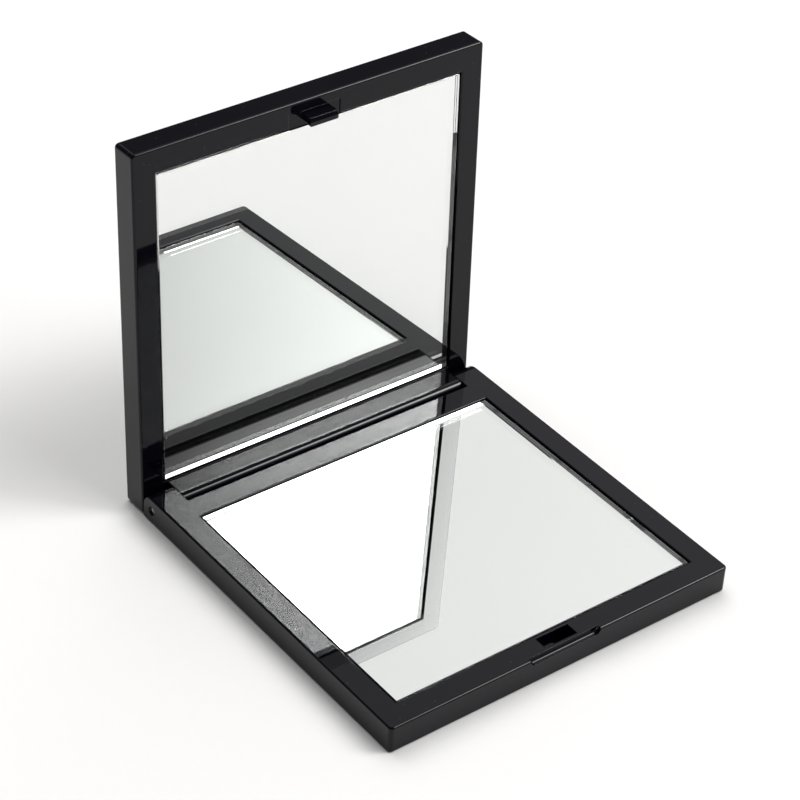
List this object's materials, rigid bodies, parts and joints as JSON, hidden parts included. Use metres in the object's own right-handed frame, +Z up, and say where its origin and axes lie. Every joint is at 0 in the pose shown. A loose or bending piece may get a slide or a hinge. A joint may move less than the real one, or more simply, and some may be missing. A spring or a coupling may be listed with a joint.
{
  "type": "folding mirror compact",
  "caption": "Square folding compact in black gloss plastic, with a mirror in the base and in the hinged lid and a snap hook.",
  "frame": {"origin": "centre of the base's underside", "axes": "+X across the compact along the hinge, +Y from the front edge to the hinge, +Z up"},
  "size_m": [0.066, 0.0732, 0.0659],
  "materials": {
    "black_gloss": "polished",
    "mirror_glass": "silvered float glass with a ground edge",
    "white_tape": "double-sided tape",
    "pin_steel": "drawn wire"
  },
  "bodies": {
    "base": {"base_frame": "black_gloss", "base_bottom_plate": "black_gloss", "base_mirror": "mirror_glass", "base_mirror_tape": "white_tape", "hinge_pin_left": "pin_steel", "hinge_pin_right": "pin_steel"},
    "lid": {"lid_frame": "black_gloss", "lid_cover_plate": "black_gloss", "lid_mirror": "mirror_glass", "lid_mirror_tape": "white_tape", "latch_hook": "black_gloss"}
  },
  "joints": [
    {"name": "lid_hinge", "type": "hinge", "parent": "base", "child": "lid", "pos_m": [0, 0.03058, 0.00243], "axis": [1, 0, 0], "range_deg": [0, 92]}
  ]
}
